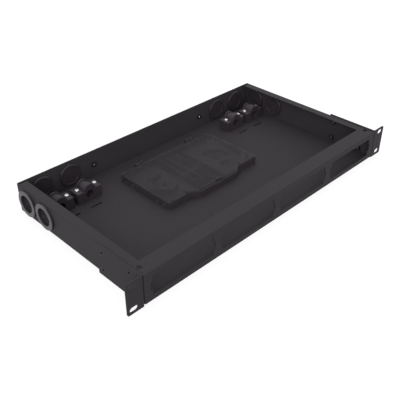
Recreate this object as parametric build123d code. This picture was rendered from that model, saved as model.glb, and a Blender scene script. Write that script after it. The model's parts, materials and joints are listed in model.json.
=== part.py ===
from build123d import *
import math
import os

os.makedirs("parts", exist_ok=True)

# Millimetres. The origin is the centre of the four rack slots, on the rear face of the ears.
# +X is to the right seen from the front, +Y to the rear, +Z up.

# Rack standard, nineteen inch, one unit high
rack_width = 482.6
rack_slot_inset = 8.75
rack_slot_spacing = rack_width - 2 * rack_slot_inset
rack_slot_rise = 31.75
ear_height = 43.66
ear_reach = 23.8
ear_sheet = 2.0
ear_leg_length = 77.0
ear_gap = 0.3
ear_bend = 2.2
ear_inner_bend = 0.6
ear_corner = 2.5
slot_length = 11.0
slot_width = 6.8

# Chassis sheet
chassis_width = rack_width - 2 * ear_reach
chassis_depth = 244.0
chassis_height = 41.6
sheet = 1.5
sheet_bend = 1.2
front_flange = 21.7
side_flange = 12.1
flange_relief = 3.5
half_width = chassis_width / 2
front_face = -ear_sheet
rear_face = front_face + chassis_depth
floor_bottom = -chassis_height / 2
floor_top = floor_bottom + sheet
top = chassis_height / 2
side_inner = half_width - sheet
rear_inner = rear_face - sheet

# Holes in the front flange for a cover
cover_hole_inset = 5.5
cover_hole_x = half_width - cover_hole_inset
cover_hole_y = 11.0
cover_hole_radius = 3.1

# Windows in the front panel
window_count = 4
window_margin = 4.22
window_bridge = 15.44
window_pitch = (chassis_width - 2 * window_margin) / window_count
window_half_width = (window_pitch - window_bridge) / 2
window_half_height = 13.4
window_step = 3.1
window_step_half_height = 5.8

# Ear screws, and the clinch nuts behind them
ear_screw_first = 19.2
ear_screw_to_end = 9.0
ear_screw_y = (ear_screw_first, front_face + ear_leg_length - ear_screw_to_end)
ear_screw_z = (-12.5, 12.5)
m4_radius = 2.0
m4_head_radius = 3.7
m4_head_height = 1.7
m4_socket_radius = 1.7
m4_socket_depth = 1.3
nut_radius = 3.6
nut_height = 3.2
nut_round = 0.5
nut_collar_radius = 2.9
nut_collar_gap = 0.1
fit_gap = 0.1

# Nuts and screws in the rear wall
rear_nut_inset = 115.3
rear_nut_x = half_width - rear_nut_inset
pan_head_radius = 3.5
pan_head_height = 1.8
pan_head_round = 0.8
pan_socket_depth = 1.0

# Blanking grommets
grommet_hole_radius = 14.5
grommet_flange_radius = 18.0
grommet_flange_height = 2.8
grommet_recess_radius = 12.0
grommet_bead_radius = 15.9
grommet_bead_height = 2.9
grommet_skin = 1.2
grommet_dish = 0.8
grommet_dish_step = 0.6
grommet_neck_gap = 0.2
grommet_round = 0.6
grommet_bead_round = 1.3
lug_inset = 4.2
lug_half_width = 1.6
lug_half_thick = 0.6
lug_height = 1.2
lug_inner_height = 0.6
lug_root = 0.2

# Cable entries: two in each side wall and two at each end of the rear wall
side_entry_inset = 21.6
side_entry_pitch = 38.4
rear_entry_inset = 32.9
rear_entry_pitch = 43.3
side_entry_last = rear_face - side_entry_inset
rear_entry_last = half_width - rear_entry_inset
grommet_side_y = (side_entry_last - side_entry_pitch, side_entry_last)
grommet_rear_x = (-rear_entry_last, rear_entry_pitch - rear_entry_last,
                  rear_entry_last - rear_entry_pitch, rear_entry_last)

# Cable clamps
clamp_inset = 32.3
clamp_pitch = 43.6
clamp_last = half_width - clamp_inset
clamp_x = (-clamp_last, clamp_pitch - clamp_last, clamp_last - clamp_pitch, clamp_last)
clamp_half_width = 18.8
clamp_length = 18.0
clamp_to_wall = 28.0
clamp_rear = rear_face - clamp_to_wall
clamp_front = clamp_rear - clamp_length
clamp_axis_rise = 9.8
clamp_axis = floor_top + clamp_axis_rise
clamp_bore = 5.6
clamp_part_gap = 0.3
clamp_foot_rise = 16.2
clamp_foot_top = floor_top + clamp_foot_rise
hump_rise = 14.7
hump_axis = floor_top + hump_rise
hump_radius = 9.6
hump_groove_radius = 7.7
groove_front_rib = 9.6
groove_rear_rib = 2.4
groove_front = clamp_front + groove_front_rib
groove_rear = clamp_rear - groove_rear_rib
clamp_screw_offset = 13.8
clamp_middle = (clamp_front + clamp_rear) / 2
m3_radius = 1.5
m3_head_radius = 2.9
m3_head_height = 2.0
m3_head_round = 0.9
m3_socket_radius = 1.3
m3_socket_depth = 1.1
clamp_screw_length = 11.5
clamp_round = 0.7
run_gap = 0.08
floor_screw_offset = 9.6
floor_screw_length = 7.5
floor_head_height = 1.4
floor_socket_radius = 1.2
floor_socket_depth = 0.9

# Thin slots in the floor in front of the clamps
floor_slot_inset = 39.3
floor_slot_pitch = 35.0
floor_slot_last = half_width - floor_slot_inset
floor_slot_x = (-floor_slot_last, floor_slot_pitch - floor_slot_last,
                floor_slot_last - floor_slot_pitch, floor_slot_last)
floor_slot_ahead = 14.5
floor_slot_y = clamp_front - floor_slot_ahead
floor_slot_length = 18.0
floor_slot_width = 3.0

# Splice tray
tray_half_width = 84.6
tray_length = 99.5
tray_bulge = 7.6
tray_to_wall = 37.5
tray_rear = rear_face - tray_to_wall
tray_front = tray_rear - tray_length
tray_bulge_front = tray_front - tray_bulge
bulge_half_width = 35.0
bulge_shoulder = 11.0
tray_round = 3.0
tray_wall = 1.6
tray_floor = 1.6
tray_height = 9.8
tray_bottom = floor_top
tray_deck = tray_bottom + tray_floor
tray_rim = tray_bottom + tray_height
tray_middle_y = (tray_front + tray_rear) / 2
entry_to_end = (12.05, 24.05)
entry_length = 6.5
entry_sill = 2.2
entry_height = 4.6
corner_wall_radius = 24.0
corner_wall = 1.2
corner_wall_height = 6.5
corner_wall_span = (47, 85)
guide_inset = 34.6
guide_x = tray_half_width - guide_inset
guide_ahead = 2.75
guide_y = tray_middle_y - guide_ahead
guide_radius = 20.0
guide_wall = 1.5
guide_height = 6.4
guide_open_angle = 65.0
finger_length = 6.0
finger_width = 7.0
finger_thick = 1.0
post_x = 21.3
post_radius = 2.2
post_height = 7.0
rear_tab_x = 42.5
rear_tab_width = 6.0
rear_tab_length = 8.5
rear_tab_height = 3.0
tray_screw_length = 3.1

# Splice combs
comb_x = 14.2
comb_behind_guide = 25.0
comb_ahead_guide = 23.0
comb_rear_y = guide_y + comb_behind_guide
comb_front_y = guide_y - comb_ahead_guide
comb_width = 22.6
comb_length = 37.4
comb_plate = 0.9
comb_rib = 1.3
comb_ribs = 9
comb_height = 3.9
comb_gap_width = 6.0

# Clear lid and its hinge
lid_side_lip = 0.4
lid_front_lip = 0.2
lid_bulge_inset = 1.6
lid_rear_lip = 0.1
lid_half_width = tray_half_width + lid_side_lip
lid_front = tray_front - lid_front_lip
lid_bulge_front = tray_bulge_front + lid_bulge_inset
lid_rear = tray_rear + lid_rear_lip
lid_thick = 1.3
lid_seat_gap = 0.1
lid_bottom = tray_rim + lid_seat_gap
lid_notch_width = 5.0
lid_notch_depth = 1.6
rim_notch_depth = 2.0
hinge_behind = 3.9
hinge_y = tray_rear + hinge_behind
hinge_z = lid_bottom + lid_thick / 2
hinge_ear_x = (43.6, 54.0)
hinge_ear_thick = 1.6
hinge_ear_radius = 2.6
hinge_foot_rise = 3.0
hinge_foot_drop = 1.2
hinge_pin_radius = 1.0
knuckle_radius = 2.1
knuckle_side_gap = 0.35
rivet_inset = 33.5
rivet_x = lid_half_width - rivet_inset
rivet_behind = 3.7
rivet_y = lid_front + rivet_behind
rivet_head_radius = 2.4
rivet_head_height = 0.7
rivet_head_round = 0.4
rivet_stem_radius = 1.2
rivet_stem_proud = 1.6


def block(x0, x1, y0, y1, z0, z1):
    low = (min(x0, x1), min(y0, y1), min(z0, z1))
    size = (abs(x1 - x0), abs(y1 - y0), abs(z1 - z0))
    centre = [low[i] + size[i] / 2 for i in range(3)]
    return Pos(*centre) * Box(*size)


def rod(start, direction, radius, length):
    plane = Plane(origin=start, z_dir=direction)
    return plane * Cylinder(radius, length, align=(Align.CENTER, Align.CENTER, Align.MIN))


def taper(start, direction, radius, end_radius, length):
    plane = Plane(origin=start, z_dir=direction)
    return plane * Cone(radius, end_radius, length, align=(Align.CENTER, Align.CENTER, Align.MIN))


def hex_socket(start, direction, across_corners, depth):
    plane = Plane(origin=start, z_dir=direction)
    return plane * extrude(RegularPolygon(across_corners, 6), depth)


def edges_near(solid, axis, at):
    return [edge for edge in solid.edges() if all(abs(getattr(v, axis) - at) < 0.01 for v in edge.vertices())]


def ear_screw_points(side):
    for y in ear_screw_y:
        for z in ear_screw_z:
            yield (side * side_inner, y, z)


def wall_entries():
    for side in (-1, 1):
        for y in grommet_side_y:
            yield (side * half_width, y, 0), (side, 0, 0)
    for x in grommet_rear_x:
        yield (x, rear_face, 0), (0, 1, 0)


def make_chassis():
    body = block(-half_width, half_width, front_face, rear_face, floor_bottom, top)
    body = fillet(body.edges(), sheet_bend)
    body -= block(-side_inner, side_inner, front_face + sheet, rear_inner, floor_top, top - sheet)
    opening = half_width - side_flange
    body -= block(-opening, opening, front_face + front_flange, rear_inner, top - 2 * sheet, top + 1)
    for side in (-1, 1):
        body -= block(side * (opening - 1), side * side_inner, rear_inner - flange_relief, rear_inner,
                      top - 2 * sheet, top + 1)
        body -= rod((side * cover_hole_x, cover_hole_y, top - 2 * sheet), (0, 0, 1), cover_hole_radius, 3 * sheet)
        for point in ear_screw_points(side):
            body -= rod(point, (side, 0, 0), nut_collar_radius + fit_gap, 2 * sheet)
        body -= rod((side * rear_nut_x, rear_inner, 0), (0, 1, 0), nut_collar_radius + fit_gap, 2 * sheet)
        body -= rod((side * guide_x, guide_y, floor_bottom), (0, 0, 1), m3_radius + fit_gap, 2 * sheet)
    for i in range(window_count):
        centre = (i - (window_count - 1) / 2) * window_pitch
        body -= block(centre - window_half_width, centre + window_half_width,
                      front_face - 1, front_face + 2 * sheet, -window_half_height, window_half_height)
        wide = window_half_width + window_step
        body -= block(centre - wide, centre + wide, front_face - 1, front_face + 2 * sheet,
                      -window_step_half_height, window_step_half_height)
    for point, outward in wall_entries():
        inward = tuple(-c for c in outward)
        body -= rod(point, inward, grommet_hole_radius, 2 * sheet)
    for x in floor_slot_x:
        slot = extrude(SlotOverall(floor_slot_length, floor_slot_width), 2 * sheet)
        body -= Pos(x, floor_slot_y, floor_bottom - 0.2) * slot
    for x in clamp_x:
        for offset in (-floor_screw_offset, floor_screw_offset):
            start = (x + offset, clamp_middle, floor_bottom)
            body -= rod(start, (0, 0, 1), m3_radius + fit_gap, 2 * sheet)
            body -= taper(start, (0, 0, 1), m3_head_radius + fit_gap, m3_radius + fit_gap, floor_head_height)
    return body


def chassis_pieces(body):
    # the folded sheet, divided at its bends
    far = 1000
    behind_flange = front_face + front_flange
    under_top = top - sheet
    regions = {
        "floor": block(-far, far, -far, far, -far, floor_top),
        "front": block(-far, far, -far, front_face + sheet, floor_top, under_top),
        "front_flange": block(-far, far, -far, behind_flange, under_top, far),
        "side_left": block(-far, -side_inner, front_face + sheet, rear_inner, floor_top, under_top),
        "side_right": block(side_inner, far, front_face + sheet, rear_inner, floor_top, under_top),
        "flange_left": block(-far, 0, behind_flange, rear_inner, under_top, far),
        "flange_right": block(0, far, behind_flange, rear_inner, under_top, far),
        "rear": block(-far, far, rear_inner, far, floor_top, far),
    }
    return {"chassis_" + name: body & region for name, region in regions.items()}


def make_ear(side):
    inner = half_width + ear_gap
    plate = block(side * inner, side * rack_width / 2, -ear_sheet, 0, -ear_height / 2, ear_height / 2)
    leg = block(side * inner, side * (inner + ear_sheet), -ear_sheet, front_face + ear_leg_length,
                -ear_height / 2, ear_height / 2)
    ear = plate + leg
    for edge_x, edge_y, radius in ((inner, -ear_sheet, ear_bend), (inner + ear_sheet, 0, ear_inner_bend)):
        edges = [e for e in ear.edges().filter_by(Axis.Z)
                 if abs(abs(e.center().X) - edge_x) < 0.01 and abs(e.center().Y - edge_y) < 0.01]
        ear = fillet(edges, radius)
    corners = [e for e in ear.edges().filter_by(Axis.Y)
               if abs(abs(e.center().X) - rack_width / 2) < 0.01]
    ear = fillet(corners, ear_corner)
    for z in (-rack_slot_rise / 2, rack_slot_rise / 2):
        slot = Plane(origin=(side * rack_slot_spacing / 2, 1, z), x_dir=(1, 0, 0), z_dir=(0, -1, 0))
        ear -= slot * extrude(SlotOverall(slot_length, slot_width), 2 * ear_sheet)
    for point in ear_screw_points(side):
        start = (side * (inner + ear_sheet), point[1], point[2])
        inward = (-side, 0, 0)
        ear -= rod(start, inward, m4_radius + fit_gap, 2 * ear_sheet)
        ear -= taper(start, inward, m4_head_radius + fit_gap, m4_radius + fit_gap, m4_head_height)
    return ear


def make_ear_screws():
    screws = []
    for side in (-1, 1):
        for point in ear_screw_points(side):
            start = (side * (half_width + ear_gap + ear_sheet), point[1], point[2])
            inward = (-side, 0, 0)
            length = ear_gap + ear_sheet + sheet + nut_height
            screw = rod(start, inward, m4_radius, length)
            screw += taper(start, inward, m4_head_radius, m4_radius, m4_head_height)
            screw -= hex_socket(start, inward, m4_socket_radius, m4_socket_depth)
            screws.append(screw)
    return Compound(children=screws)


def make_nut(wall_point, inward):
    nut = rod(wall_point, inward, nut_radius, nut_height)
    nut = fillet(nut.edges().sort_by(lambda e: e.center().dot(Vector(*inward)))[-1], nut_round)
    outward = tuple(-c for c in inward)
    nut += rod(wall_point, outward, nut_collar_radius, sheet - nut_collar_gap)
    start = tuple(wall_point[i] - inward[i] * 2 * sheet for i in range(3))
    return nut - rod(start, inward, m4_radius + fit_gap, nut_height + 4 * sheet)


def make_ear_nuts():
    nuts = [make_nut(point, (-side, 0, 0)) for side in (-1, 1) for point in ear_screw_points(side)]
    return Compound(children=nuts)


def make_rear_nuts():
    return Compound(children=[make_nut((side * rear_nut_x, rear_inner, 0), (0, -1, 0)) for side in (-1, 1)])


def make_rear_screws():
    screws = []
    for side in (-1, 1):
        start = (side * rear_nut_x, rear_face, 0)
        head = rod(start, (0, 1, 0), pan_head_radius, pan_head_height)
        head = fillet(edges_near(head, "Y", rear_face + pan_head_height), pan_head_round)
        screw = head + rod(start, (0, -1, 0), m4_radius, sheet + nut_height)
        screw -= hex_socket((start[0], rear_face + pan_head_height, 0), (0, -1, 0),
                            m4_socket_radius, pan_socket_depth)
        screws.append(screw)
    return Compound(children=screws)


def make_grommet(point, outward):
    # built along +Z with the outer face of the wall at zero, then turned to the wall
    flange = Cylinder(grommet_flange_radius, grommet_flange_height, align=(Align.CENTER, Align.CENTER, Align.MIN))
    flange = fillet(flange.edges().group_by(Axis.Z)[-1], grommet_round)
    bead = Pos(0, 0, -sheet) * Cylinder(grommet_bead_radius, grommet_bead_height,
                                        align=(Align.CENTER, Align.CENTER, Align.MAX))
    bead = fillet(bead.edges().group_by(Axis.Z)[0], grommet_bead_round)
    neck = Cylinder(grommet_hole_radius - grommet_neck_gap, sheet, align=(Align.CENTER, Align.CENTER, Align.MAX))
    inner_end = -sheet - grommet_bead_height
    recess_floor = inner_end + grommet_dish + grommet_skin
    body = flange + neck + bead
    body -= Pos(0, 0, recess_floor) * Cylinder(grommet_recess_radius, 2 * grommet_flange_radius,
                                               align=(Align.CENTER, Align.CENTER, Align.MIN))
    body -= Pos(0, 0, inner_end) * Cylinder(grommet_recess_radius + grommet_dish_step, 2 * grommet_dish)
    # a small moulded lug low on the skin
    lug_y = lug_inset - grommet_recess_radius
    root = recess_floor - lug_root
    for low, high in ((root, recess_floor + lug_height), (recess_floor - grommet_skin - lug_inner_height, root)):
        body += block(-lug_half_width, lug_half_width, lug_y - lug_half_thick, lug_y + lug_half_thick, low, high)
    up_across = Vector(0, 0, 1).cross(Vector(*outward))
    plane = Plane(origin=point, x_dir=up_across, z_dir=outward)
    return plane * body


def make_clamp_base(x):
    base = block(x - clamp_half_width, x + clamp_half_width, clamp_front, clamp_rear, floor_top, clamp_axis)
    base = fillet(base.edges().filter_by(Axis.Z), clamp_round)
    base -= rod((x, clamp_front - 1, clamp_axis), (0, 1, 0), clamp_bore, clamp_rear - clamp_front + 2)
    for side in (-1, 1):
        base -= rod((x + side * clamp_screw_offset, clamp_middle, clamp_axis + 1), (0, 0, -1),
                    m3_radius + run_gap, clamp_screw_length - (clamp_foot_top - clamp_axis) + 2)
        base -= rod((x + side * floor_screw_offset, clamp_middle, floor_top - 1), (0, 0, 1),
                    m3_radius + fit_gap, floor_screw_length - sheet + 1.2)
    return base


def make_clamp_saddle(x):
    bottom = clamp_axis + clamp_part_gap
    saddle = block(x - clamp_half_width, x + clamp_half_width, clamp_front, clamp_rear, bottom, clamp_foot_top)
    saddle = fillet(saddle.edges().filter_by(Axis.Z), clamp_round)
    saddle = fillet(edges_near(saddle, "Z", clamp_foot_top), clamp_round)
    hump = rod((x, clamp_front, hump_axis), (0, 1, 0), hump_radius, clamp_rear - clamp_front)
    hump = fillet(hump.edges().filter_by(GeomType.CIRCLE), clamp_round)
    ring = rod((x, groove_front, hump_axis), (0, 1, 0), hump_radius + 2, groove_rear - groove_front)
    ring -= rod((x, groove_front - 1, hump_axis), (0, 1, 0), hump_groove_radius, groove_rear - groove_front + 2)
    hump -= ring
    rims = [e for e in hump.edges().filter_by(GeomType.CIRCLE)
            if abs(e.radius - hump_radius) < 0.01 and clamp_front + 2 < e.center().Y < clamp_rear - 1.5]
    hump = fillet(rims, clamp_round)
    hump -= block(x - clamp_half_width, x + clamp_half_width, clamp_front - 1, clamp_rear + 1,
                  bottom - 2 * hump_radius, bottom)
    saddle += hump
    saddle -= rod((x, clamp_front - 1, clamp_axis), (0, 1, 0), clamp_bore, clamp_rear - clamp_front + 2)
    for side in (-1, 1):
        saddle -= rod((x + side * clamp_screw_offset, clamp_middle, bottom - 1), (0, 0, 1),
                      m3_radius + fit_gap, clamp_foot_rise)
    return saddle


def make_clamp_screws(x):
    screws = []
    for side in (-1, 1):
        start = (x + side * clamp_screw_offset, clamp_middle, clamp_foot_top)
        head = rod(start, (0, 0, 1), m3_head_radius, m3_head_height)
        head = fillet(head.edges().group_by(Axis.Z)[-1], m3_head_round)
        screw = head + rod(start, (0, 0, -1), m3_radius, clamp_screw_length)
        above = (start[0], start[1], clamp_foot_top + m3_head_height)
        screw -= hex_socket(above, (0, 0, -1), m3_socket_radius, m3_socket_depth)
        screws.append(screw)
    return Compound(children=screws)


def make_floor_screws():
    screws = []
    for x in clamp_x:
        for side in (-1, 1):
            start = (x + side * floor_screw_offset, clamp_middle, floor_bottom)
            screw = rod(start, (0, 0, 1), m3_radius, floor_screw_length)
            screw += taper(start, (0, 0, 1), m3_head_radius, m3_radius, floor_head_height)
            screw -= hex_socket(start, (0, 0, 1), floor_socket_radius, floor_socket_depth)
            screws.append(screw)
    return Compound(children=screws)


def bulged_outline(half, front, bulge_front, rear):
    shoulder = bulge_half_width + bulge_shoulder
    corners = [(-half, front), (-shoulder, front), (-bulge_half_width, bulge_front),
               (bulge_half_width, bulge_front), (shoulder, front), (half, front), (half, rear), (-half, rear)]
    face = Polygon(*corners, align=None)
    return fillet(face.vertices(), tray_round)


def arc_wall(centre, radius, thick, start, stop, low, high):
    # upright wall along an arc, angles in degrees from +X
    ring = Circle(radius) - Circle(radius - thick)
    reach = 2 * radius
    steps = max(2, int(abs(stop - start) / 30) + 1)
    fan = [(0, 0)]
    for i in range(steps + 1):
        angle = math.radians(start + (stop - start) * i / steps)
        fan.append((reach * math.cos(angle), reach * math.sin(angle)))
    sector = Polygon(*fan, align=None)
    return Pos(centre[0], centre[1], low) * extrude(ring & sector, high - low)


def make_guide(side):
    # half drum at each end of the tray, open towards the middle, with flat fingers around it
    outward = 0 if side > 0 else 180
    half_sweep = 180 - guide_open_angle
    high = tray_deck + guide_height
    guide = arc_wall((side * guide_x, guide_y), guide_radius, guide_wall,
                     outward - half_sweep, outward + half_sweep, tray_deck, high)
    for turn in (-75, 0, 75):
        finger = block(guide_radius - guide_wall / 2, guide_radius + finger_length,
                       -finger_width / 2, finger_width / 2, high - finger_thick, high)
        guide += Pos(side * guide_x, guide_y, 0) * Rot(0, 0, outward + turn) * finger
    return guide


def make_tray():
    # one moulding, divided into floor, four walls, guides, corner walls, posts and tabs
    outline = bulged_outline(tray_half_width, tray_front, tray_bulge_front, tray_rear)
    inside = offset(outline, amount=-tray_wall, kind=Kind.INTERSECTION)
    floor = Pos(0, 0, tray_bottom) * extrude(outline, tray_floor)
    ring = Pos(0, 0, tray_deck) * extrude(outline - inside, tray_rim - tray_deck)
    guides = []
    corners = []
    posts = []
    tabs = []
    for side in (-1, 1):
        for end in (-1, 1):
            cx = side * (tray_half_width - tray_wall - corner_wall_radius)
            cy = tray_middle_y + end * (tray_length / 2 - tray_wall - corner_wall_radius)
            # the span is measured from the side wall, so the wall stays clear of the fibre entries
            span = [end * (angle if side > 0 else 180 - angle) for angle in corner_wall_span]
            corners.append(arc_wall((cx, cy), corner_wall_radius, corner_wall, min(span), max(span),
                                    tray_deck, tray_deck + corner_wall_height))
            for distance in entry_to_end:
                y = tray_middle_y + end * (tray_length / 2 - distance)
                ring -= block(side * (tray_half_width - 2 * tray_wall), side * (tray_half_width + 1),
                              y - entry_length / 2, y + entry_length / 2,
                              tray_bottom + entry_sill, tray_bottom + entry_sill + entry_height)
        guides.append(make_guide(side))
        posts.append(rod((side * post_x, guide_y, tray_deck), (0, 0, 1), post_radius, post_height))
        tabs.append(block(side * rear_tab_x - rear_tab_width / 2, side * rear_tab_x + rear_tab_width / 2,
                          tray_rear - tray_wall - rear_tab_length, tray_rear - tray_wall,
                          tray_deck + rear_tab_height, tray_deck + rear_tab_height + finger_thick))
        floor -= rod((side * guide_x, guide_y, tray_bottom - 1), (0, 0, 1), m3_radius + fit_gap, 2 * tray_floor)
    ring -= block(-lid_notch_width, lid_notch_width, tray_bulge_front - 1, tray_bulge_front + tray_wall + 0.1,
                  tray_rim - rim_notch_depth, tray_rim + 1)
    side_cut = tray_half_width - tray_round
    rear = ring & block(-side_cut, side_cut, tray_middle_y, tray_rear + 1, tray_bottom, tray_rim)
    for side in (-1, 1):
        for x in hinge_ear_x:
            rear += hinge_ear(side * x)
    return {
        "tray_floor": floor,
        "tray_wall_front": ring & block(-side_cut, side_cut, 0, tray_middle_y, tray_bottom, tray_rim),
        "tray_wall_rear": rear,
        "tray_wall_left": ring & block(-2 * side_cut, -side_cut, 0, tray_rear + 1, tray_bottom, tray_rim),
        "tray_wall_right": ring & block(side_cut, 2 * side_cut, 0, tray_rear + 1, tray_bottom, tray_rim),
        "tray_guide_left": guides[0],
        "tray_guide_right": guides[1],
        "tray_corner_walls": Compound(children=corners),
        "tray_posts": Compound(children=posts),
        "tray_rear_tabs": Compound(children=tabs),
    }


def hinge_ear(x):
    x0 = x - hinge_ear_thick / 2
    ear = rod((x0, hinge_y, hinge_z), (1, 0, 0), hinge_ear_radius, hinge_ear_thick)
    ear += block(x0, x0 + hinge_ear_thick, hinge_y - hinge_ear_radius, hinge_y + hinge_ear_radius,
                 tray_bottom + hinge_foot_rise, hinge_z)
    ear += block(x0, x0 + hinge_ear_thick, tray_rear - tray_wall / 2, hinge_y,
                 tray_bottom + hinge_foot_rise, tray_rim - hinge_foot_drop)
    return ear - rod((x0 - 1, hinge_y, hinge_z), (1, 0, 0), hinge_pin_radius + fit_gap, hinge_ear_thick + 2)


def make_comb(x, y):
    base = block(x - comb_width / 2, x + comb_width / 2, y - comb_length / 2, y + comb_length / 2,
                 tray_deck, tray_deck + comb_plate)
    pitch = (comb_length - comb_rib) / (comb_ribs - 1)
    for i in range(comb_ribs):
        rib_y = y - comb_length / 2 + comb_rib / 2 + i * pitch
        for side in (-1, 1):
            base += block(x + side * comb_gap_width / 2, x + side * comb_width / 2,
                          rib_y - comb_rib / 2, rib_y + comb_rib / 2, tray_deck, tray_deck + comb_height)
    return base


def make_tray_screws():
    screws = []
    for side in (-1, 1):
        start = (side * guide_x, guide_y, tray_deck)
        head = rod(start, (0, 0, 1), m3_head_radius, m3_head_height)
        head = fillet(head.edges().group_by(Axis.Z)[-1], m3_head_round)
        screw = head + rod(start, (0, 0, -1), m3_radius, tray_screw_length)
        screw -= hex_socket((start[0], start[1], tray_deck + m3_head_height), (0, 0, -1),
                            m3_socket_radius, m3_socket_depth)
        screws.append(screw)
    return Compound(children=screws)


def make_lid():
    outline = bulged_outline(lid_half_width, lid_front, lid_bulge_front, lid_rear)
    lid = Pos(0, 0, lid_bottom) * extrude(outline, lid_thick)
    lid -= block(-lid_notch_width / 2, lid_notch_width / 2, lid_bulge_front - 1,
                 lid_bulge_front + lid_notch_depth, lid_bottom - 1, lid_bottom + 2 * lid_thick)
    for side in (-1, 1):
        inner = hinge_ear_x[0] + hinge_ear_thick / 2 + knuckle_side_gap
        outer = hinge_ear_x[1] - hinge_ear_thick / 2 - knuckle_side_gap
        low = min(side * inner, side * outer)
        lid += block(low, low + outer - inner, lid_rear - 1, hinge_y, lid_bottom, lid_bottom + lid_thick)
        lid += rod((low, hinge_y, hinge_z), (1, 0, 0), knuckle_radius, outer - inner)
        lid -= rod((low - 1, hinge_y, hinge_z), (1, 0, 0), hinge_pin_radius + run_gap, outer - inner + 2)
        lid -= rod((side * rivet_x, rivet_y, lid_bottom - 1), (0, 0, 1), rivet_stem_radius + fit_gap, 1 + 2 * lid_thick)
    return lid


def make_hinge_pins():
    pins = []
    for side in (-1, 1):
        inner = hinge_ear_x[0] - hinge_ear_thick / 2
        outer = hinge_ear_x[1] + hinge_ear_thick / 2
        low = min(side * inner, side * outer)
        pins.append(rod((low, hinge_y, hinge_z), (1, 0, 0), hinge_pin_radius, outer - inner))
    return Compound(children=pins)


def make_lid_rivets():
    rivets = []
    for side in (-1, 1):
        start = (side * rivet_x, rivet_y, lid_bottom + lid_thick)
        head = rod(start, (0, 0, 1), rivet_head_radius, rivet_head_height)
        head = fillet(head.edges().group_by(Axis.Z)[-1], rivet_head_round)
        rivets.append(head + rod(start, (0, 0, -1), rivet_stem_radius, lid_thick + rivet_stem_proud))
    return Compound(children=rivets)


nodes = {
    **chassis_pieces(make_chassis()),
    "rack_ear_left": make_ear(-1),
    "rack_ear_right": make_ear(1),
    "ear_screws": make_ear_screws(),
    "ear_clinch_nuts": make_ear_nuts(),
    "rear_clinch_nuts": make_rear_nuts(),
    "rear_screws": make_rear_screws(),
    "clamp_floor_screws": make_floor_screws(),
    **make_tray(),
    "tray_screws": make_tray_screws(),
    "tray_lid": make_lid(),
    "lid_rivets": make_lid_rivets(),
    "lid_hinge_pins": make_hinge_pins(),
    "comb_rear_left": make_comb(-comb_x, comb_rear_y),
    "comb_rear_right": make_comb(comb_x, comb_rear_y),
    "comb_front_left": make_comb(-comb_x, comb_front_y),
    "comb_front_right": make_comb(comb_x, comb_front_y),
}
grommet_names = ("left_front", "left_rear", "right_front", "right_rear", "rear_a", "rear_b", "rear_c", "rear_d")
for name, (point, outward) in zip(grommet_names, wall_entries()):
    nodes["grommet_" + name] = make_grommet(point, outward)
for letter, x in zip("abcd", clamp_x):
    nodes["clamp_base_" + letter] = make_clamp_base(x)
    nodes["clamp_saddle_" + letter] = make_clamp_saddle(x)
    nodes["clamp_screws_" + letter] = make_clamp_screws(x)

for name, shape in nodes.items():
    export_step(shape, f"parts/{name}.step")
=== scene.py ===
import json
import math
from contextlib import contextmanager

import bmesh
import bpy
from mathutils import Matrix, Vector
from mathutils.geometry import delaunay_2d_cdt, intersect_point_line


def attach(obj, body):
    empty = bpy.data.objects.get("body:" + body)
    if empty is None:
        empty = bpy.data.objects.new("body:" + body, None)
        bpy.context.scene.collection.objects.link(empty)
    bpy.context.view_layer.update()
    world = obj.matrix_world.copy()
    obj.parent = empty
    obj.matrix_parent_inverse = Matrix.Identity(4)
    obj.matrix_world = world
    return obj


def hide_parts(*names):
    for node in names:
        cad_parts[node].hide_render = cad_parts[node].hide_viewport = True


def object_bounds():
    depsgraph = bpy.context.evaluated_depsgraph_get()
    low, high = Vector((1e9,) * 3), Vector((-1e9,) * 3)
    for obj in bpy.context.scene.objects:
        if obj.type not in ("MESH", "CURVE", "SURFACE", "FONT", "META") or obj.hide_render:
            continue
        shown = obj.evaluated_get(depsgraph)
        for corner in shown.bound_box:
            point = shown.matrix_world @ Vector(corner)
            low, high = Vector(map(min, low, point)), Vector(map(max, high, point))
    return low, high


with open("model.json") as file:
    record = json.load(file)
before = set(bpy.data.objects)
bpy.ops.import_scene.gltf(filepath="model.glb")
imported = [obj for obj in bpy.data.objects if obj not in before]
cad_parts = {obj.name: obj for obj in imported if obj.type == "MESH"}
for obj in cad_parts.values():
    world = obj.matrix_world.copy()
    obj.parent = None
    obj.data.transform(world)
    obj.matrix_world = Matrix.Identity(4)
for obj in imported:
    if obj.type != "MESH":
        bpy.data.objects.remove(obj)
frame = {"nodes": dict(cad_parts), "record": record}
cadLow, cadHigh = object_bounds()
mm = 0.001  # a piece's own sizes are in millimetres and degrees, camera and studio in metres


def addObject(name, data):
    made = bpy.data.objects.new(name, data)
    bpy.context.scene.collection.objects.link(made)
    return made


@contextmanager
def editing(mesh):
    # opens a mesh for changes and writes them back
    bm = bmesh.new()
    bm.from_mesh(mesh)
    yield bm
    bm.to_mesh(mesh)
    bm.free()


# Camera, set from the straight edges and the rack slots in the photograph

photoCamera = {
    "place": (-0.50414, -0.37121, 0.43412),
    "forward": (0.58103, 0.58308, -0.56782),
    "lens": 54.59,
    "sensor": 36.0,
    "nearest": 0.01,
    "farthest": 20.0,
}


def makeCamera(sizes):
    lens = bpy.data.cameras.new("photoCamera")
    lens.lens = sizes["lens"]
    lens.sensor_width = sizes["sensor"]
    lens.clip_start = sizes["nearest"]
    lens.clip_end = sizes["farthest"]
    camera = addObject("photoCamera", lens)
    camera.location = sizes["place"]
    camera.rotation_mode = "QUATERNION"
    camera.rotation_quaternion = Vector(sizes["forward"]).to_track_quat("-Z", "Y")
    bpy.context.scene.camera = camera


makeCamera(photoCamera)
print("camera set")


# Node graphs, for materials and geometry alike

def findSocket(sockets, wanted):
    if isinstance(wanted, int):
        return sockets[wanted]
    return next((s for s in sockets if s.identifier == wanted), None) or sockets[wanted]


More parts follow.
